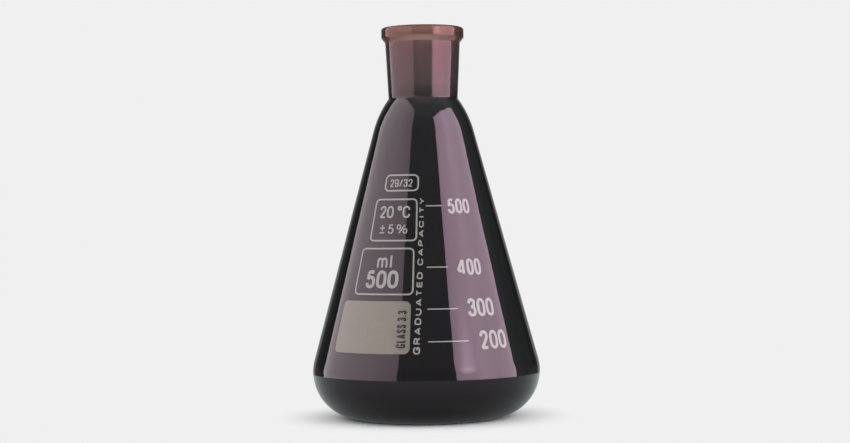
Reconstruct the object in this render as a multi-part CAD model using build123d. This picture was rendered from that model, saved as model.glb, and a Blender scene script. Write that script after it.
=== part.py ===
from build123d import *
import math
import os

# Body of the flask: a heel, a straight cone and a rounded shoulder
overall_height = 180.0
body_diameter = 105.0
heel_radius = 21.3
shoulder_radius = 45.0
shoulder_lean = 36.3  # degrees from upright, where the shoulder meets the neck
body_wall = 2.3

# Base: a flat standing ring round a low dome pushed up from below
base_thickness = 2.8
punt_rise = 1.6
standing_ring_width = 3.0
standing_ring_round = 4.0

# Neck: the walls of a 29/32 ground socket, taper 1 in 10 on the diameter
socket_mouth_diameter = 29.2
socket_length = 32.0
socket_taper = 0.1
neck_wall = 3.05
neck_skirt = 0.75  # plain neck between the socket's foot and the shoulder
neck_crease_round = 0.8
throat_round = 0.5

# Collar that strengthens the mouth, with a sloping underside
collar_projection = 1.45
collar_band = 4.65
collar_slope_height = 2.3
collar_underside_round = 0.7
rim_round = 1.3
mouth_round = 0.5

# Heights and radii that follow from the sizes
neck_foot = overall_height - socket_length - neck_skirt
band_foot = overall_height - collar_band
collar_foot = band_foot - collar_slope_height
collar_radius = socket_mouth_diameter / 2 + neck_wall + collar_projection
standing_radius = body_diameter / 2 - heel_radius
floor_height = punt_rise + base_thickness


def polar(radius, angle):
    """A step of the given radius at an angle in degrees above the horizontal."""
    return Vector(radius * math.cos(math.radians(angle)), radius * math.sin(math.radians(angle)))


def socket_radius(height):
    """Radius of the ground taper at a height, also where its line is carried on below its foot."""
    return socket_mouth_diameter / 2 - (overall_height - height) * socket_taper / 2


# The section is drawn with X as the radius and Y as the height. The cone is the line that
# touches both the heel's circle and the shoulder's.
heel_centre = Vector(standing_radius, heel_radius)
neck_foot_corner = Vector(socket_radius(neck_foot) + neck_wall, neck_foot)
shoulder_centre = neck_foot_corner - polar(shoulder_radius, shoulder_lean)
centre_line = shoulder_centre - heel_centre
centre_line_angle = math.degrees(math.atan2(centre_line.Y, centre_line.X))
touch_angle = math.degrees(math.acos((heel_radius - shoulder_radius) / centre_line.length))
cone_lean = centre_line_angle - touch_angle


def underside():
    """Outer bottom: from the axis over the low dome to the flat ring that the flask stands on."""
    dome_edge = Vector(standing_radius - standing_ring_width, 0)
    dome = TangentArc((0, punt_rise), dome_edge, tangent=(1, 0))
    ring = Line(dome_edge, (standing_radius, 0))
    return [dome, ring], -90


def floor():
    """Inner bottom: one dome that runs smoothly into the heel, and the angle where they meet."""
    inner_heel = heel_radius - body_wall
    rise = heel_radius - floor_height
    dome_radius = (standing_radius**2 + rise**2 - inner_heel**2) / (2 * (inner_heel - rise))
    meeting = math.degrees(math.atan2(rise + dome_radius, standing_radius)) - 180
    dome = TangentArc((0, floor_height), heel_centre + polar(inner_heel, meeting), tangent=(1, 0))
    return [dome], meeting


def body_section(bottom, heel_start, inset):
    """Half-section of the body at a depth inside its outer face, closed above by a point."""
    heel = CenterArc(heel_centre, heel_radius - inset, heel_start, cone_lean - heel_start)
    shoulder_turn = shoulder_lean - cone_lean
    shoulder = CenterArc(shoulder_centre, shoulder_radius - inset, cone_lean, shoulder_turn)
    cone = Line(heel @ 1, shoulder @ 0)
    brow = shoulder @ 1
    peak = Vector(0, brow.Y + brow.X / math.tan(math.radians(shoulder_lean)))
    lid = Line(brow, peak)
    axis = Line(peak, bottom[0] @ 0)
    return make_face(Curve() + [*bottom, heel, cone, shoulder, lid, axis])


def neck_section():
    """Half-section of the neck and its collar, as if the socket were solid."""
    return make_face(
        Polyline(
            (0, neck_foot),
            neck_foot_corner,
            (socket_radius(collar_foot) + neck_wall, collar_foot),
            (collar_radius, band_foot),
            (collar_radius, overall_height),
            (0, overall_height),
            close=True,
        )
    )


def bore_section():
    """Half-section of the ground taper, carried down into the body's hollow."""
    low = neck_foot - body_wall
    return make_face(
        Polyline(
            (0, low),
            (socket_radius(low), low),
            (socket_radius(overall_height), overall_height),
            (0, overall_height),
            close=True,
        )
    )


def round_corner(section, corner, radius):
    """Rounds the corner of a section that lies nearest to a point."""
    return fillet(section.vertices().sort_by_distance(corner)[0], radius)


def outer_section():
    """Half-section of everything inside the outer face."""
    bottom, heel_start = underside()
    section = body_section(bottom, heel_start, 0) + neck_section()
    dome_edge = (standing_radius - standing_ring_width, 0)
    section = round_corner(section, dome_edge, standing_ring_round)
    section = round_corner(section, neck_foot_corner, neck_crease_round)
    section = round_corner(section, (collar_radius, band_foot), collar_underside_round)
    return round_corner(section, (collar_radius, overall_height), rim_round)


def hollow_section():
    """Half-section of the hollow, from the floor to the mouth."""
    bottom, heel_start = floor()
    section = body_section(bottom, heel_start, body_wall) + bore_section()
    throat = section.vertices().sort_by(Axis.Y)[-3]
    return fillet(throat, throat_round)


def make_flask():
    """The blown glass flask, turned from its half-section."""
    section = outer_section() - hollow_section()
    mouth = (socket_mouth_diameter / 2, overall_height)
    section = round_corner(section, mouth, mouth_round)
    flask = revolve(Plane.XZ * section, Axis.Z)
    flask.label = "flask"
    flask.color = Color(0.25, 0.11, 0.09)
    return flask


os.makedirs("parts", exist_ok=True)
export_step(make_flask(), "parts/flask.step")
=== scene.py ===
import math

import bmesh
import bpy
from mathutils import Matrix, Vector


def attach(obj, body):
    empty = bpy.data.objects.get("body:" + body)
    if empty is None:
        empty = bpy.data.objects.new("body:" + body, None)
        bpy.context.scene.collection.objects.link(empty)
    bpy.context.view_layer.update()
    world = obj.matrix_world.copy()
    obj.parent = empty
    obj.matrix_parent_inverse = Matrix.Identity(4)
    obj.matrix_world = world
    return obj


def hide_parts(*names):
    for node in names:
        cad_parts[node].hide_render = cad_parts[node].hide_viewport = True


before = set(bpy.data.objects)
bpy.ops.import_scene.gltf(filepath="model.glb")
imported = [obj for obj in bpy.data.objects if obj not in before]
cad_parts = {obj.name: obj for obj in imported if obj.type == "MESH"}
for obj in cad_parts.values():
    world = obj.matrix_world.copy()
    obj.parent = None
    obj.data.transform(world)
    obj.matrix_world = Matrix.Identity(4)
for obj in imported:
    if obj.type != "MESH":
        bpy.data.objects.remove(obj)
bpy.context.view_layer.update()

MM = 0.001

# Body of the flask, in millimetres: a heel, a straight cone and a rounded shoulder
overall_height = 180.0
body_diameter = 105.0
heel_radius = 21.3
shoulder_radius = 45.0
shoulder_lean = math.radians(36.3)
body_wall = 2.3

# Base: a flat standing ring round a low dome pushed up from below
base_thickness = 2.8
punt_rise = 1.6
standing_ring_width = 3.0

# Neck with its ground socket, and the collar round the mouth
socket_mouth_diameter = 29.2
socket_length = 32.0
socket_taper = 0.1
neck_wall = 3.05
neck_skirt = 0.75
neck_crease_round = 0.8
throat_round = 0.5
throat_rise = 0.15  # height of the throat's inner edge over the neck's foot
collar_projection = 1.45
collar_band = 4.65
collar_slope_height = 2.3
collar_underside_round = 0.7
rim_round = 1.3
mouth_round = 0.5

# Heights and radii that follow from the sizes
neck_foot = overall_height - socket_length - neck_skirt
band_foot = overall_height - collar_band
collar_foot = band_foot - collar_slope_height
collar_radius = socket_mouth_diameter / 2 + neck_wall + collar_projection
standing_radius = body_diameter / 2 - heel_radius
floor_height = punt_rise + base_thickness

# Fineness of the turned surfaces
turns = 192
arc_step = math.radians(2)
round_segments = 6
hold = 0.3  # distance of a holding point from the end of a straight run
sharp_edge = math.radians(30)
on_axis = 0.001  # a point this near the axis is put on it
weld = 0.0005  # points this near each other are merged

# Enamel marks
enamel_height = 0.06  # how far the fired enamel stands proud of the glass
enamel_root = 0.02  # how deep it reaches into the glass
layer_step = 0.002  # how much each stroke of a letter lies over the one before
facet = 1.0  # widest strip of a mark between two cuts round the cone
cut_tolerance = 0.00001
frame_line = 0.75


def polar(radius, angle):
    """A step of the given radius at an angle above the horizontal."""
    return Vector((radius * math.cos(angle), radius * math.sin(angle)))


def socket_radius(height):
    """Radius of the ground taper at a height, also where its line is carried on below its foot."""
    return socket_mouth_diameter / 2 - (overall_height - height) * socket_taper / 2


# The section is drawn with X as the radius and Y as the height. The cone is the line that
# touches both the heel's circle and the shoulder's.
heel_centre = Vector((standing_radius, heel_radius))
neck_foot_corner = Vector((socket_radius(neck_foot) + neck_wall, neck_foot))
shoulder_centre = neck_foot_corner - polar(shoulder_radius, shoulder_lean)
centre_line = shoulder_centre - heel_centre
cone_lean = math.atan2(centre_line.y, centre_line.x) - math.acos(
    (heel_radius - shoulder_radius) / centre_line.length
)


def cone_radius(height):
    """Radius of the cone's outer face at a height."""
    foot = heel_centre + polar(heel_radius, cone_lean)
    return foot.x - (height - foot.y) * math.tan(cone_lean)


class Section:
    """Half-section of a turned piece, drawn as one line in the XZ plane."""

    def __init__(self, radius, height):
        self.bm = bmesh.new()
        self.tip = self.bm.verts.new((radius, 0, height))
        self.rounds = []

    def line_to(self, radius, height, round_radius=0.0):
        """Straight run to a point, which is rounded later if it gets a radius."""
        grown = bmesh.ops.extrude_vert_indiv(self.bm, verts=[self.tip])
        self.tip = grown["verts"][0]
        self.tip.co = (radius, 0, height)
        if round_radius:
            self.rounds.append((self.tip, round_radius))

    def arc(self, centre, turn):
        """Arc from the tip round a centre; a positive turn goes from the radius up to the height."""
        steps = max(2, round(abs(turn) / arc_step))
        swept = bmesh.ops.spin(
            self.bm,
            geom=[self.tip],
            cent=(centre.x, 0, centre.y),
            axis=(0, -1, 0),
            angle=turn,
            steps=steps,
        )
        self.tip = swept["geom_last"][0]

    def finished(self):
        """Rounds the marked corners, holds the straight runs and hands over the bmesh.

        A holding point near each end of a run keeps the shading of the run straight.
        """
        for corner, radius in self.rounds:
            ends = [edge.other_vert(corner).co - corner.co for edge in corner.link_edges]
            turn = math.pi - ends[0].angle(ends[1])
            bmesh.ops.bevel(
                self.bm,
                geom=[corner],
                offset=radius * math.tan(turn / 2),
                offset_type="OFFSET",
                affect="VERTICES",
                segments=round_segments,
                profile=0.5,
                material=-1,
            )
        for run in [edge for edge in self.bm.edges if edge.calc_length() > 4 * hold]:
            far_end = run.verts[1]
            bmesh.utils.edge_split(run, run.verts[0], hold / run.calc_length())
            for part in far_end.link_edges:
                if part.calc_length() > 2 * hold:
                    bmesh.utils.edge_split(part, far_end, hold / part.calc_length())
                    break
        return self.bm


def glass_section():
    """The flask's wall: up the outside from the punt to the rim, then down the bore to the floor."""
    dome_edge = standing_radius - standing_ring_width
    punt_radius = (dome_edge**2 + punt_rise**2) / (2 * punt_rise)
    punt_centre = Vector((0, punt_rise - punt_radius))
    wall = Section(0, punt_rise)
    wall.arc(punt_centre, -math.asin(dome_edge / punt_radius))
    wall.line_to(standing_radius, 0)
    wall.arc(heel_centre, math.pi / 2 + cone_lean)
    top = shoulder_centre + polar(shoulder_radius, cone_lean)
    wall.line_to(top.x, top.y)
    wall.arc(shoulder_centre, shoulder_lean - cone_lean)
    wall.rounds.append((wall.tip, neck_crease_round))
    wall.line_to(socket_radius(collar_foot) + neck_wall, collar_foot)
    wall.line_to(collar_radius, band_foot, collar_underside_round)
    wall.line_to(collar_radius, overall_height, rim_round)
    wall.line_to(socket_mouth_diameter / 2, overall_height, mouth_round)

    inner_shoulder = shoulder_radius - body_wall
    inner_heel = heel_radius - body_wall
    throat_height = neck_foot + throat_rise
    throat_lean = math.acos((socket_radius(throat_height) - shoulder_centre.x) / inner_shoulder)
    throat = shoulder_centre + polar(inner_shoulder, throat_lean)
    wall.line_to(throat.x, throat.y, throat_round)
    wall.arc(shoulder_centre, cone_lean - throat_lean)
    foot = heel_centre + polar(inner_heel, cone_lean)
    wall.line_to(foot.x, foot.y)
    rise = heel_radius - floor_height
    dome_radius = (standing_radius**2 + rise**2 - inner_heel**2) / (2 * (inner_heel - rise))
    meeting = math.atan2(rise + dome_radius, standing_radius) - math.pi
    wall.arc(heel_centre, meeting - cone_lean)
    wall.arc(Vector((0, floor_height - dome_radius)), math.pi / 2 - (meeting + math.pi))
    return wall.finished()


def turned(section, name):
    """Turns a half-section once round the flask's axis into a closed mesh object."""
    bmesh.ops.spin(
        section,
        geom=section.verts[:] + section.edges[:],
        cent=(0, 0, 0),
        axis=(0, 0, 1),
        angle=math.tau,
        steps=turns,
        use_merge=True,
    )
    for vert in section.verts:
        if math.hypot(vert.co.x, vert.co.y) < on_axis:
            vert.co.xy = (0, 0)
    bmesh.ops.remove_doubles(section, verts=section.verts, dist=weld)
    bmesh.ops.scale(section, vec=(MM, MM, MM), verts=section.verts)
    bmesh.ops.recalc_face_normals(section, faces=section.faces)
    return piece(section, name)


def piece(bm, name):
    """A smooth-shaded object of the flask's body from a bmesh."""
    mesh = bpy.data.meshes.new(name)
    bm.to_mesh(mesh)
    bm.free()
    mesh.shade_smooth()
    mesh.set_sharp_from_angle(angle=sharp_edge)
    made = bpy.data.objects.new(name, mesh)
    bpy.context.scene.collection.objects.link(made)
    return made


# Printed marks. A mark is drawn flat in millimetres, X to the right and Y up, cut into narrow
# strips and laid on the cone.


class Place:
    """A field of the cone: azimuths right of the front, in degrees, and heights, in millimetres.

    A slant moves the top of the field to the right by so many degrees.
    """

    def __init__(self, left, right, low, high, slant=0.0):
        self.left = left
        self.right = right
        self.low = low
        self.high = high
        self.slant = slant
        self.middle = (low + high) / 2

    def width(self):
        return math.radians(self.right - self.left) * cone_radius(self.middle)

    def height(self):
        return (self.high - self.low) / math.cos(cone_lean)

    def point(self, across, up, lift):
        """A point of the cone in this field, from shares of its width and height."""
        azimuth = self.left + across * (self.right - self.left) + up * self.slant
        return cone_point(azimuth, self.low + up * (self.high - self.low), lift)


def cone_point(azimuth, height, lift):
    """A point over the cone's outer face, in millimetres; the lift is square to the face."""
    turn = math.radians(azimuth)
    radius = cone_radius(height) + lift * math.cos(cone_lean)
    return Vector(
        (radius * math.sin(turn), -radius * math.cos(turn), height + lift * math.sin(cone_lean))
    )


def extent(bm):
    """Left, right, lower and upper limit of a flat mark."""
    xs = [vert.co.x for vert in bm.verts]
    ys = [vert.co.y for vert in bm.verts]
    return min(xs), max(xs), min(ys), max(ys)


def cut_into_strips(bm):
    """Cuts a flat mark along X, so that it can follow the cone."""
    left, right, _, _ = extent(bm)
    count = max(1, math.ceil((right - left) / facet))
    for number in range(1, count):
        bmesh.ops.bisect_plane(
            bm,
            geom=bm.verts[:] + bm.edges[:] + bm.faces[:],
            dist=cut_tolerance,
            plane_co=(left + (right - left) * number / count, 0, 0),
            plane_no=(1, 0, 0),
        )


def lay_on_cone(bm, place, lift=0.0):
    """Stretches a flat mark over its place on the cone and gives the enamel its thickness."""
    cut_into_strips(bm)
    left, right, low, high = extent(bm)
    for vert in bm.verts:
        across = (vert.co.x - left) / (right - left)
        up = (vert.co.y - low) / (high - low)
        vert.co = place.point(across, up, lift + vert.co.z)
    raise_enamel(bm)


def raise_enamel(bm):
    """Gives a mark that lies on the cone its thickness, from just inside its ground outwards."""
    grown = bmesh.ops.extrude_face_region(bm, geom=bm.faces[:])
    front = [item for item in grown["geom"] if isinstance(item, bmesh.types.BMVert)]
    raised = set(front)
    for vert in bm.verts:
        outward = Vector((vert.co.x, vert.co.y, 0)).normalized() * math.cos(cone_lean)
        outward.z = math.sin(cone_lean)
        vert.co += outward * (enamel_height if vert in raised else -enamel_root)
    bmesh.ops.scale(bm, vec=(MM, MM, MM), verts=bm.verts)
    bmesh.ops.recalc_face_normals(bm, faces=bm.faces)


def rounded_field(width, height, corner):
    """A flat rectangle with round corners."""
    bm = bmesh.new()
    bmesh.ops.create_grid(bm, x_segments=1, y_segments=1, size=0.5)
    bmesh.ops.scale(bm, vec=(width, height, 1), verts=bm.verts)
    bmesh.ops.bevel(
        bm,
        geom=bm.verts[:],
        offset=corner,
        offset_type="OFFSET",
        affect="VERTICES",
        segments=round_segments,
        profile=0.5,
        material=-1,
    )
    return bm


def frame_mark(name, place, corner):
    """A closed frame line with round corners."""
    bm = rounded_field(place.width(), place.height(), corner)
    inner = bm.faces[:]
    bmesh.ops.inset_region(
        bm,
        faces=inner,
        thickness=frame_line,
        use_boundary=True,
        use_even_offset=True,
    )
    bmesh.ops.delete(bm, geom=inner, context="FACES")
    lay_on_cone(bm, place)
    mark(bm, name, enamel)


# Letters are drawn with a pen of even width. A bar is a straight stroke, a bend is a smooth line
# through its points, and a ring is a closed one. Points are shares of the letter's width and
# height, and each letter's width is in digits.


def bar(*points):
    return "bar", points


def bend(*points):
    return "bend", points


def ring(low, high, left=0.0, right=1.0):
    """An upright oval with straight sides."""
    shape = ((0.5, 1), (0.9, 0.9), (1, 0.74), (1, 0.26), (0.9, 0.1), (0.5, 0), (0.1, 0.1))
    shape += ((0, 0.26), (0, 0.74), (0.1, 0.9))
    return "ring", [(left + x * (right - left), low + y * (high - low)) for x, y in shape]


open_round = ((1, 0.70), (0.9, 0.9), (0.5, 1), (0.1, 0.9), (0, 0.74), (0, 0.26), (0.1, 0.1), (0.5, 0))
letters = {
    "0": (1.0, [ring(0, 1)]),
    "2": (1.0, [
        bend((0, 0.72), (0.12, 0.92), (0.5, 1), (0.88, 0.92), (0.95, 0.72), (0.7, 0.46), (0.02, 0)),
        bar((0.0, 0), (1.0, 0)),
    ]),
    "3": (1.0, [
        bend((0, 0.77), (0.12, 0.93), (0.5, 1), (0.88, 0.93), (0.93, 0.76), (0.78, 0.58), (0.36, 0.54)),
        bend((0.36, 0.54), (0.82, 0.49), (1, 0.3), (0.9, 0.08), (0.5, 0), (0.1, 0.08), (0, 0.26)),
    ]),
    "4": (1.3, [bar((0.78, 1), (0.78, 0)), bar((0.72, 1), (0, 0.24)), bar((0, 0.21), (1, 0.21))]),
    "5": (1.0, [
        bar((0.1, 1), (0.94, 1)),
        bar((0.13, 1), (0.05, 0.5)),
        bend((0.07, 0.52), (0.3, 0.63), (0.6, 0.63), (0.93, 0.52), (1, 0.32), (0.9, 0.09), (0.5, 0),
             (0.1, 0.08), (0, 0.25)),
    ]),
    "9": (1.0, [
        ring(0.4, 1),
        bend((1, 0.72), (1, 0.3), (0.87, 0.08), (0.48, 0), (0.12, 0.07), (0.03, 0.23)),
    ]),
    "m": (1.75, [
        bar((0, 0), (0, 0.74)),
        bend((0, 0.56), (0.12, 0.71), (0.3, 0.72), (0.47, 0.6), (0.5, 0.4), (0.5, 0)),
        bend((0.5, 0.56), (0.62, 0.71), (0.8, 0.72), (0.97, 0.6), (1, 0.4), (1, 0)),
    ]),
    "l": (0.42, [bar((0.5, 0), (0.5, 1))]),
    "/": (0.8, [bar((0, 0), (1, 1))]),
    ".": (0.3, [bar((0.5, 0), (0.5, 0.1))]),
    " ": (0.3, []),
    "\N{DEGREE SIGN}": (0.62, [ring(0.72, 1)]),
    "\N{PLUS-MINUS SIGN}": (1.2, [
        bar((0, 0.62), (1, 0.62)),
        bar((0.5, 0.98), (0.5, 0.26)),
        bar((0, 0.05), (1, 0.05)),
    ]),
    "%": (1.9, [ring(0.5, 1, 0, 0.34), bar((0.2, 0), (0.8, 1)), ring(0, 0.5, 0.66, 1)]),
    "A": (1.15, [bar((0, 0), (0.5, 1)), bar((1, 0), (0.5, 1)), bar((0.16, 0.28), (0.84, 0.28))]),
    "C": (1.05, [bend(*open_round, (0.9, 0.1), (1, 0.3))]),
    "D": (1.05, [
        bar((0, 0), (0, 1)),
        bend((0, 1), (0.6, 0.99), (0.96, 0.76), (0.96, 0.24), (0.6, 0.01), (0, 0)),
    ]),
    "E": (0.9, [
        bar((0, 0), (0, 1)),
        bar((0, 1), (1, 1)),
        bar((0, 0.52), (0.94, 0.52)),
        bar((0, 0), (1, 0)),
    ]),
    "G": (1.1, [
        bend(*open_round, (0.86, 0.07), (1, 0.22)),
        bar((1, 0.48), (1, 0)),
        bar((0.55, 0.45), (1, 0.45)),
    ]),
    "I": (0.42, [bar((0.5, 0), (0.5, 1))]),
    "L": (0.85, [bar((0, 0), (0, 1)), bar((0, 0), (1, 0))]),
    "P": (1.0, [bar((0, 0), (0, 1)), bend((0, 1), (0.7, 0.98), (0.97, 0.74), (0.7, 0.48), (0, 0.46))]),
    "R": (1.05, [
        bar((0, 0), (0, 1)),
        bend((0, 1), (0.7, 0.98), (0.95, 0.76), (0.7, 0.53), (0, 0.51)),
        bar((0.55, 0.5), (1, 0)),
    ]),
    "S": (1.0, [
        bend((0.96, 0.74), (0.86, 0.92), (0.5, 1), (0.12, 0.92), (0.08, 0.68), (0.5, 0.53), (0.94, 0.36),
             (0.9, 0.08), (0.5, 0), (0.12, 0.08), (0, 0.27)),
    ]),
    "T": (0.95, [bar((0, 1), (1, 1)), bar((0.5, 1), (0.5, 0))]),
    "U": (1.05, [bend((0, 1), (0, 0.28), (0.12, 0.08), (0.5, 0), (0.88, 0.08), (1, 0.28), (1, 1))]),
    "Y": (1.05, [bar((0, 1), (0.5, 0.45)), bar((1, 1), (0.5, 0.45)), bar((0.5, 0.47), (0.5, 0))]),
}


def drawn_letters(text, width, height, pen, gap):
    """Flat letters in a field of the given width and height; the gap between two is in digits."""
    shares = [letters[letter][0] for letter in text]
    digit = width / (sum(shares) + gap * (len(text) - 1))
    curve = bpy.data.curves.new(text, "CURVE")
    curve.dimensions = "3D"
    curve.twist_mode = "Z_UP"
    curve.extrude = pen / 2
    curve.resolution_u = 5
    start = 0.0
    for letter in text:
        share, strokes = letters[letter]
        for layer, (kind, points) in enumerate(strokes):
            stroke = curve.splines.new("BEZIER")
            stroke.bezier_points.add(len(points) - 1)
            for knot, (x, y) in zip(stroke.bezier_points, points):
                knot.co.x = start + pen / 2 + x * (share * digit - pen)
                knot.co.y = pen / 2 + y * (height - pen)
                knot.co.z = layer * layer_step
                knot.tilt = math.pi / 2
                knot.handle_left_type = "VECTOR" if kind == "bar" else "AUTO"
                knot.handle_right_type = knot.handle_left_type
            stroke.use_cyclic_u = kind == "ring"
        start += (share + gap) * digit
    drawing = bpy.data.objects.new(text, curve)
    mesh = bpy.data.meshes.new_from_object(drawing)
    bpy.data.objects.remove(drawing)
    bpy.data.curves.remove(curve)
    bm = bmesh.new()
    bm.from_mesh(mesh)
    bpy.data.meshes.remove(mesh)
    return bm


def letter_mark(name, text, place, pen, gap=0.14):
    """Upright letters that fill their place."""
    bm = drawn_letters(text, place.width(), place.height(), pen, gap)
    lay_on_cone(bm, place)
    mark(bm, name, enamel)


def standing_letters(name, text, place, pen, gap, lift, material):
    """Letters that fill their place and read upwards, with their heads to the left."""
    bm = drawn_letters(text, place.height(), place.width(), pen, gap)
    upwards = Matrix.Rotation(math.pi / 2, 3, "Z")
    bmesh.ops.rotate(bm, cent=(0, 0, 0), matrix=upwards, verts=bm.verts)
    lay_on_cone(bm, place, lift)
    mark(bm, name, material)


def mark(bm, name, material):
    """Makes a printed mark an object of the flask."""
    made = piece(bm, name)
    made.data.shade_flat()
    made.data.materials.append(material)
    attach(made, "root")


def principled(name):
    """A new material, its node tree and its Principled shader."""
    material = bpy.data.materials.new(name)
    material.use_nodes = True
    tree = material.node_tree
    return material, tree, tree.nodes["Principled BSDF"]


def own_place(tree):
    """Where a point lies in its piece's own space, and the X, Y and Z of that."""
    place = tree.nodes.new("ShaderNodeTexCoord").outputs["Object"]
    axes = tree.nodes.new("ShaderNodeSeparateXYZ")
    tree.links.new(place, axes.inputs["Vector"])
    return place, axes.outputs


def from_axis(tree, axes):
    """How far a point lies from the flask's axis."""
    across = tree.nodes.new("ShaderNodeCombineXYZ")
    tree.links.new(axes["X"], across.inputs["X"])
    tree.links.new(axes["Y"], across.inputs["Y"])
    distance = tree.nodes.new("ShaderNodeVectorMath")
    distance.operation = "LENGTH"
    tree.links.new(across.outputs["Vector"], distance.inputs[0])
    return distance.outputs["Value"]


def worked_out(tree, operation, *values):
    """The result of a sum; each value is a number or the output of another node."""
    sum_node = tree.nodes.new("ShaderNodeMath")
    sum_node.operation = operation
    for socket, value in zip(sum_node.inputs, values):
        if isinstance(value, bpy.types.NodeSocket):
            tree.links.new(value, socket)
        else:
            socket.default_value = value
    return sum_node.outputs["Value"]


def mapped(tree, value, start, end, curve="LINEAR"):
    """A result that follows a value, between two pairs of a value and its result."""
    follow = tree.nodes.new("ShaderNodeMapRange")
    follow.interpolation_type = curve
    follow.inputs["From Min"].default_value = start[0]
    follow.inputs["To Min"].default_value = start[1]
    follow.inputs["From Max"].default_value = end[0]
    follow.inputs["To Max"].default_value = end[1]
    tree.links.new(value, follow.inputs["Value"])
    return follow.outputs["Result"]


def ramp(tree, value, stops):
    """A colour that follows a value through the stops, each of them a value and its colour."""
    first = stops[0][0]
    last = stops[-1][0]
    run = tree.nodes.new("ShaderNodeValToRGB")
    places = [((at - first) / (last - first), (*colour, 1)) for at, colour in stops]
    elements = run.color_ramp.elements
    for element, (position, colour) in zip(elements, (places[0], places[-1])):
        element.position = position
        element.color = colour
    for position, colour in places[1:-1]:
        elements.new(position).color = colour
    tree.links.new(mapped(tree, value, (first, 0), (last, 1)), run.inputs["Fac"])
    return run.outputs["Color"]


def grey_ramp(tree, value, levels):
    """A grey that follows a value through the levels, each of them a value and its grey."""
    return ramp(tree, value, [(at, (level, level, level)) for at, level in levels])


def amber_glass():
    """Stained borosilicate glass, dark through two walls, with the socket's bore ground matt."""
    material, tree, shader = principled("amber_glass")
    place, axes = own_place(tree)
    shader.inputs["IOR"].default_value = 1.473
    shader.inputs["Transmission Weight"].default_value = 1.0

    # The stain is dense on the body and thins out up the neck to a clear amber in the collar; the
    # lightening up the neck and into the collar is also a painted glow, for light let in at the mouth
    # and scattered by the ground bore
    stain_and_painted_glow = [
        (neck_foot - 2, (0.12, 0.09, 0.10)),
        (neck_foot + 1, (0.36, 0.38, 0.39)),
        (neck_foot + 7, (0.58, 0.59, 0.61)),
        (neck_foot + 14, (0.63, 0.61, 0.64)),
        (collar_foot - 2, (0.65, 0.59, 0.63)),
        (band_foot, (0.78, 0.59, 0.52)),
        (overall_height, (0.95, 0.69, 0.58)),
    ]
    # The gloss is tinted lilac on the body and red up the neck and collar; the red is a painted glow in
    # the reflections, for light scattered back from the ground bore
    sheen_and_painted_glow = [
        (neck_foot - 2, (1.0, 0.88, 0.96)),
        (neck_foot + 1, (1.0, 0.70, 0.72)),
        (collar_foot, (1.0, 0.56, 0.58)),
        (overall_height, (1.0, 0.56, 0.50)),
    ]
    for name, stops in (("Base Color", stain_and_painted_glow), ("Specular Tint", sheen_and_painted_glow)):
        tint = ramp(tree, axes["Z"], [(height * MM, colour) for height, colour in stops])
        tree.links.new(tint, shader.inputs[name])

    # The ground bore is told from the other faces by its radius, above the throat
    polished = 0.015
    ground = 0.75
    bore_reach = socket_mouth_diameter / 2 + 0.2
    bore_foot = neck_foot + 0.5
    inside = worked_out(tree, "LESS_THAN", from_axis(tree, axes), bore_reach * MM)
    above = worked_out(tree, "GREATER_THAN", axes["Z"], bore_foot * MM)
    in_bore = worked_out(tree, "MULTIPLY", inside, above)
    finish = mapped(tree, in_bore, (0, polished), (1, ground))
    tree.links.new(finish, shader.inputs["Roughness"])

    # Drawn glass is never quite even: long shallow waves run up the wall
    run = tree.nodes.new("ShaderNodeMapping")
    run.inputs["Scale"].default_value = (1.0, 1.0, 0.22)
    tree.links.new(place, run.inputs["Vector"])
    waves = tree.nodes.new("ShaderNodeTexNoise")
    waves.inputs["Scale"].default_value = 95.0
    waves.inputs["Detail"].default_value = 1.0
    tree.links.new(run.outputs["Vector"], waves.inputs["Vector"])
    swell = tree.nodes.new("ShaderNodeBump")
    swell.inputs["Strength"].default_value = 1.0
    swell.inputs["Distance"].default_value = 0.00003
    tree.links.new(waves.outputs["Fac"], swell.inputs["Height"])
    tree.links.new(swell.outputs["Normal"], shader.inputs["Normal"])

    absorb = tree.nodes.new("ShaderNodeVolumeAbsorption")
    absorb.inputs["Color"].default_value = (0.43, 0.286, 0.257, 1)
    absorb.inputs["Density"].default_value = 350.0
    tree.links.new(absorb.outputs["Volume"], tree.nodes["Material Output"].inputs["Volume"])
    return material


def fired_enamel(name, colour, roughness):
    """Ceramic ink fired onto the glass, a little mottled where it was screened on."""
    material, tree, shader = principled(name)
    shader.inputs["Roughness"].default_value = roughness
    place, _ = own_place(tree)
    grain = tree.nodes.new("ShaderNodeTexNoise")
    grain.inputs["Scale"].default_value = 900
    grain.inputs["Detail"].default_value = 4
    tree.links.new(place, grain.inputs["Vector"])
    thin = 0.88
    thick = 1.08
    cover = tree.nodes.new("ShaderNodeMix")
    cover.data_type = "RGBA"
    cover.inputs["A"].default_value = (*[channel * thin for channel in colour], 1)
    cover.inputs["B"].default_value = (*[channel * thick for channel in colour], 1)
    tree.links.new(grain.outputs["Fac"], cover.inputs["Factor"])
    tree.links.new(cover.outputs["Result"], shader.inputs["Base Color"])
    return material


glass = amber_glass()
enamel = fired_enamel("enamel", (0.27, 0.255, 0.245), 0.14)
enamel_field = fired_enamel("enamel_field", (0.175, 0.146, 0.118), 0.3)
stencil = fired_enamel("stencil", (0.012, 0.010, 0.011), 0.2)

flask = turned(glass_section(), "flask_glass")
flask.data.materials.append(glass)
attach(flask, "root")
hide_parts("flask")

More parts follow.
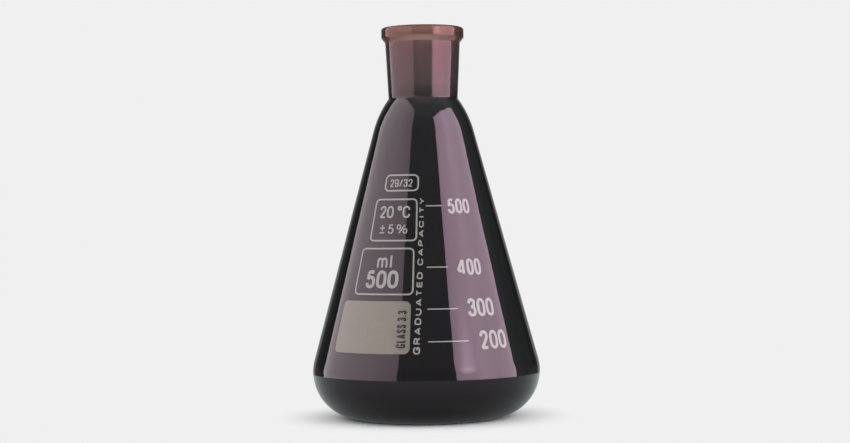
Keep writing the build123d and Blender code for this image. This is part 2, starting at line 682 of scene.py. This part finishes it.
# Graduation marks with their volumes in millilitres: azimuth where the line ends, height of the
# line, and the place of the number
tick_start = 1.0
tick_thickness = 0.5
bold = 0.165  # stroke of a bold digit, as a share of its height
graduations = {
    "500": (13.9, 97.5, Place(18.4, 37.7, 93.9, 100.6)),
    "400": (14.6, 70.3, Place(20.3, 38.1, 66.5, 73.9)),
    "300": (18.5, 52.0, Place(24.4, 42.1, 48.3, 56.3)),
    "200": (22.75, 37.9, Place(29.15, 46.6, 33.9, 42.15)),
}
for volume, (tick_end, level, place) in graduations.items():
    half_line = tick_thickness / 2
    tick_place = Place(tick_start, tick_end, level - half_line, level + half_line)
    tick = rounded_field(tick_place.width(), tick_place.height(), corner=tick_thickness / 10)
    lay_on_cone(tick, tick_place)
    mark(tick, "graduation_line_" + volume, enamel)
    letter_mark("graduation_number_" + volume, volume, place, pen=bold * place.height())

# Panels left of the graduation: joint size, calibration, capacity and writing patch
joint_size = "29/32"
frame_mark("joint_size_frame", Place(-35.9, -4.4, 104.1, 111.8), corner=2.4)
letter_mark("joint_size", joint_size, Place(-30.5, -10.0, 106.1, 109.6), pen=0.55)

temperature = "20 \N{DEGREE SIGN}C"
tolerance = "\N{PLUS-MINUS SIGN} 5 %"
frame_mark("calibration_frame", Place(-42.4, -5.3, 81.8, 100.9), corner=2.2)
letter_mark("calibration_temperature", temperature, Place(-36.5, -11.0, 92.2, 97.6), pen=0.85)
letter_mark("calibration_tolerance", tolerance, Place(-34.5, -12.5, 85.2, 89.4), pen=0.6)

frame_mark("capacity_frame", Place(-47.6, -6.95, 58.1, 79.0), corner=2.4)
letter_mark("capacity_unit", "ml", Place(-32.7, -21.9, 70.3, 75.6), pen=0.9, gap=0.35)
letter_mark("capacity", "500", Place(-39.35, -16.7, 61.1, 69.0), pen=1.5)

patch_place = Place(-55.1, -8.4, 32.6, 55.5)
patch_field = rounded_field(patch_place.width(), patch_place.height(), corner=2.6)
lay_on_cone(patch_field, patch_place)
mark(patch_field, "writing_patch", enamel_field)
standing_letters(
    "glass_grade",
    "GLASS 3.3",
    Place(-15.8, -10.6, 35.1, 51.5),
    pen=0.76,
    gap=0.26,
    lift=enamel_height,
    material=stencil,
)
standing_letters(
    "graduation_legend",
    "GRADUATED CAPACITY",
    Place(-6.8, -3.1, 32.5, 101.0, slant=3.05),
    pen=0.6,
    gap=0.40,
    lift=0.0,
    material=enamel,
)

# Studio, in metres: a pale table top that runs into the backdrop, a dim room in front of it, and
# two tall soft boxes. The lamps light the flask and the table; the gloss sees their diffusers.
background = 0.871
fill_light = 0.5
table_radius = 3.0
shade_start = 0.034  # from here outwards the flask's shade on the table fades
shade_gone = 0.073
table_in_gloss = 0.225
# Glow of the disc that the glass sees in place of the table, by distance from the axis: a painted
# shadow, darkest next to the flask
table_glow_painted_shadow = [(0.036, 0.13), (0.043, 0.26), (0.052, 0.46), (0.083, 0.64), (0.146, 0.72)]
room_radius = 1.6
room_low = -0.8
room_high = 4.0
room_step = 4  # degrees from fold to fold
box_distance = 0.8
box_low = -0.6


def plainly_seen(tree):
    """One where the eye, the gloss or the glass looks, and nought for the light on a matt face."""
    path = tree.nodes.new("ShaderNodeLightPath").outputs
    direct = worked_out(tree, "MAXIMUM", path["Is Camera Ray"], path["Is Glossy Ray"])
    return worked_out(tree, "MAXIMUM", direct, path["Is Transmission Ray"])


def studio_world():
    """The pale backdrop for what is plainly seen, and a soft fill light."""
    world = bpy.data.worlds.new("studio")
    world.use_nodes = True
    tree = world.node_tree
    shade = tree.nodes["Background"]
    level = mapped(tree, plainly_seen(tree), (0, fill_light), (1, background))
    tree.links.new(level, shade.inputs["Strength"])
    shade.inputs["Color"].default_value = (1, 1, 1, 1)
    bpy.context.scene.world = world


def stage_object(bm, name, material):
    """A part of the studio from a bmesh."""
    mesh = bpy.data.meshes.new(name)
    bm.to_mesh(mesh)
    bm.free()
    made = bpy.data.objects.new(name, mesh)
    bpy.context.scene.collection.objects.link(made)
    made.data.materials.append(material)
    return made


def for_the_glass_only(stage_piece):
    """Hides a part of the studio from everything but what the glass mirrors and lets through."""
    stage_piece.visible_camera = False
    stage_piece.visible_diffuse = False
    stage_piece.visible_shadow = False


def disc(radius):
    """A flat round plate on the ground."""
    bm = bmesh.new()
    bmesh.ops.create_circle(bm, cap_ends=True, segments=64, radius=radius)
    return bm


def table_material():
    """Pale paint that fades into the backdrop's tone away from the flask."""
    material, tree, shader = principled("table_top")
    shader.inputs["Base Color"].default_value = (0.80, 0.80, 0.82, 1)
    shader.inputs["Roughness"].default_value = 1.0
    shader.inputs["Specular IOR Level"].default_value = 0.0
    _, axes = own_place(tree)
    distance = from_axis(tree, axes)
    away = mapped(tree, distance, (shade_start, 0), (shade_gone, 1), "SMOOTHSTEP")
    share = worked_out(tree, "MULTIPLY", away, plainly_seen(tree))
    glow = tree.nodes.new("ShaderNodeEmission")
    glow.inputs["Strength"].default_value = background
    blend = tree.nodes.new("ShaderNodeMixShader")
    tree.links.new(share, blend.inputs["Fac"])
    tree.links.new(shader.outputs["BSDF"], blend.inputs[1])
    tree.links.new(glow.outputs["Emission"], blend.inputs[2])
    tree.links.new(blend.outputs["Shader"], tree.nodes["Material Output"].inputs["Surface"])
    return material


def bare_material(name):
    """A new material with no surface yet, and its node tree."""
    material, tree, shader = principled(name)
    tree.nodes.remove(shader)
    return material, tree


def let_glow(tree, colour, strength):
    """Makes the surface of a bare material glow, as strong as the output of a node."""
    glow = tree.nodes.new("ShaderNodeEmission")
    glow.inputs["Color"].default_value = (*colour, 1)
    tree.links.new(strength, glow.inputs["Strength"])
    tree.links.new(glow.outputs["Emission"], tree.nodes["Material Output"].inputs["Surface"])


def studio_table():
    """The round table top that the flask stands on, and a glowing disc in its place that only the glass
    sees, with the flask's shadow painted on it as a darker glow near the axis.
    """
    top = stage_object(disc(table_radius), "table_top", table_material())
    top.visible_glossy = False
    material, tree = bare_material("table_shade")
    _, axes = own_place(tree)
    let_glow(tree, (0.88, 1.0, 0.99), grey_ramp(tree, from_axis(tree, axes), table_glow_painted_shadow))
    for_the_glass_only(stage_object(disc(table_in_gloss), "table_in_gloss", material))


def around(azimuth, distance, height):
    """A point of the studio: degrees right of the front, distance from the axis, and height."""
    turn = math.radians(azimuth)
    return Vector((distance * math.sin(turn), -distance * math.cos(turn), height))


def curtain(first, last):
    """A curved upright sheet round the studio, from one azimuth to another."""
    bm = bmesh.new()
    foot = bm.verts.new(around(first, room_radius, room_low))
    bmesh.ops.spin(
        bm,
        geom=[foot],
        cent=(0, 0, 0),
        axis=(0, 0, 1),
        angle=math.radians(last - first),
        steps=round((last - first) / room_step),
    )
    raised = bmesh.ops.extrude_edge_only(bm, edges=bm.edges[:])
    top = [item for item in raised["geom"] if isinstance(item, bmesh.types.BMVert)]
    bmesh.ops.translate(bm, vec=(0, 0, room_high - room_low), verts=top)
    return bm


def lit_cloth(name, colour, levels, rise, hot_spot=None):
    """Glow round the axis: levels by azimuth, times a rise from (height, share) to (height, share).

    A hot spot is a place, its radius and how many times brighter it is.
    """
    material, tree = bare_material(name)
    place, axes = own_place(tree)
    forward = worked_out(tree, "MULTIPLY", axes["Y"], -1)
    azimuth = worked_out(tree, "ARCTAN2", axes["X"], forward)
    level = grey_ramp(tree, azimuth, [(math.radians(at), grey) for at, grey in levels])
    strength = worked_out(tree, "MULTIPLY", level, mapped(tree, axes["Z"], *rise))
    if hot_spot:
        spot, reach, gain = hot_spot
        near = tree.nodes.new("ShaderNodeVectorMath")
        near.operation = "DISTANCE"
        near.inputs[1].default_value = spot
        tree.links.new(place, near.inputs[0])
        boost = mapped(tree, near.outputs["Value"], (0, gain), (reach, 1), "SMOOTHSTEP")
        strength = worked_out(tree, "MULTIPLY", strength, boost)
    let_glow(tree, colour, strength)
    return material


def room_side(name, colour, levels, rise=((0, 1), (1, 1))):
    """A cloth that hangs round part of the studio, over the azimuths of its levels."""
    material = lit_cloth(name, colour, levels, rise)
    side = stage_object(curtain(levels[0][0], levels[-1][0]), name, material)
    for_the_glass_only(side)
    return side


def soft_box(name, facing, high, levels, colour, light, hot_spot=None):
    """A flat soft box: its diffuser, over the azimuths of its levels, and its lamp.

    Facing is the azimuth at which it is square to the flask and nearest.
    """
    first = box_distance * math.tan(math.radians(levels[0][0] - facing))
    last = box_distance * math.tan(math.radians(levels[-1][0] - facing))
    middle = Vector(((first + last) / 2, -box_distance, (box_low + high) / 2))
    bm = bmesh.new()
    bmesh.ops.create_grid(bm, x_segments=1, y_segments=1, size=0.5)
    bmesh.ops.scale(bm, vec=(last - first, high - box_low, 1), verts=bm.verts)
    upright = Matrix.Rotation(math.pi / 2, 3, "X")
    bmesh.ops.rotate(bm, cent=(0, 0, 0), matrix=upright, verts=bm.verts)
    bmesh.ops.translate(bm, vec=middle, verts=bm.verts)
    turned_round = Matrix.Rotation(math.radians(facing), 3, "Z")
    bmesh.ops.rotate(bm, cent=(0, 0, 0), matrix=turned_round, verts=bm.verts)
    material = lit_cloth(name + "_diffuser", colour, levels, ((0.25, 0.88), (0.6, 1.0)), hot_spot)
    for_the_glass_only(stage_object(bm, name + "_diffuser", material))

    lamp = bpy.data.lights.new(name, "AREA")
    lamp.shape = "RECTANGLE"
    lamp.size = last - first
    lamp.size_y = high
    lamp.energy = light * math.pi * lamp.size * lamp.size_y
    box = bpy.data.objects.new(name, lamp)
    box.location = turned_round @ Vector((middle.x, middle.y, high / 2))
    box.rotation_euler = (math.pi / 2, 0, math.radians(facing))
    box.visible_camera = False
    box.visible_glossy = False
    box.visible_transmission = False
    bpy.context.scene.collection.objects.link(box)


studio_world()
studio_table()

# The room round the camera is dim, open towards the backdrop, and gets lighter upwards
room_levels = [(-152, 0.10), (-125, 0.10), (-100, 0.3), (-29, 0.42), (30, 0.42), (101, 0.50)]
room_levels += [(106, 0.42), (112, 0.32), (118, 0.24), (132, 0.15), (141, 0.07), (152, 0.05)]
room_side("dim_room", (0.76, 1.0, 0.96), room_levels, ((0.4, 0.82), (2.4, 1.75)))

# Behind the flask hang grey wings, which only the grazing gloss at its outline sees
wings = {
    "right_wing": [(152, 0.24), (158, 0.33), (180, 0.35)],
    "left_wing": [(-180, 0.35), (-158, 0.33), (-152, 0.24)],
}
for wing_name, wing_levels in wings.items():
    wing = room_side(wing_name, (0.96, 1.0, 1.0), wing_levels)
    wing.visible_transmission = False

right_levels = [(29, 5.0), (37, 5.9), (45, 6.1), (51, 6.5), (57, 7.1), (64, 6.8), (71, 6.3)]
right_levels += [(79, 5.9), (92, 5.6), (97, 5.8), (100, 6.4)]
soft_box(
    "right_soft_box",
    facing=58,
    high=1.05,
    levels=right_levels,
    colour=(1.0, 0.80, 0.94),
    light=2.6,
    hot_spot=(around(41, 0.82, 0.27), 0.2, 1.9),
)
left_levels = [(-125, 3.3), (-119, 2.8), (-106, 2.6), (-97, 2.8), (-89, 2.9), (-74, 2.9)]
left_levels += [(-59, 2.85), (-46, 2.5), (-33, 2.25), (-29, 2.1)]
soft_box(
    "left_soft_box",
    facing=-66,
    high=1.5,
    levels=left_levels,
    colour=(1.0, 0.93, 0.99),
    light=1.2,
)

# Camera: nearly level, at mid height, a hand's breadth under a metre away
sensor_width = 36.0
frame_width = 850
half_pixel = 0.5 / frame_width
focal_pixels = 1868.0
camera_place = (0.000384, -0.866061, 0.095)
camera_dip = 0.324  # degrees below the level
camera_roll = -0.708  # degrees
camera_data = bpy.data.cameras.new("camera")
camera_data.sensor_width = sensor_width
camera_data.lens = sensor_width * focal_pixels / frame_width
camera_data.shift_x = -half_pixel
camera_data.shift_y = half_pixel
camera = bpy.data.objects.new("camera", camera_data)
dip = Matrix.Rotation(math.radians(90 - camera_dip), 4, "X")
roll = Matrix.Rotation(math.radians(camera_roll), 4, "Z")
camera.matrix_world = Matrix.Translation(camera_place) @ dip @ roll
bpy.context.scene.collection.objects.link(camera)
bpy.context.scene.camera = camera

bpy.context.scene.view_settings.view_transform = "Standard"
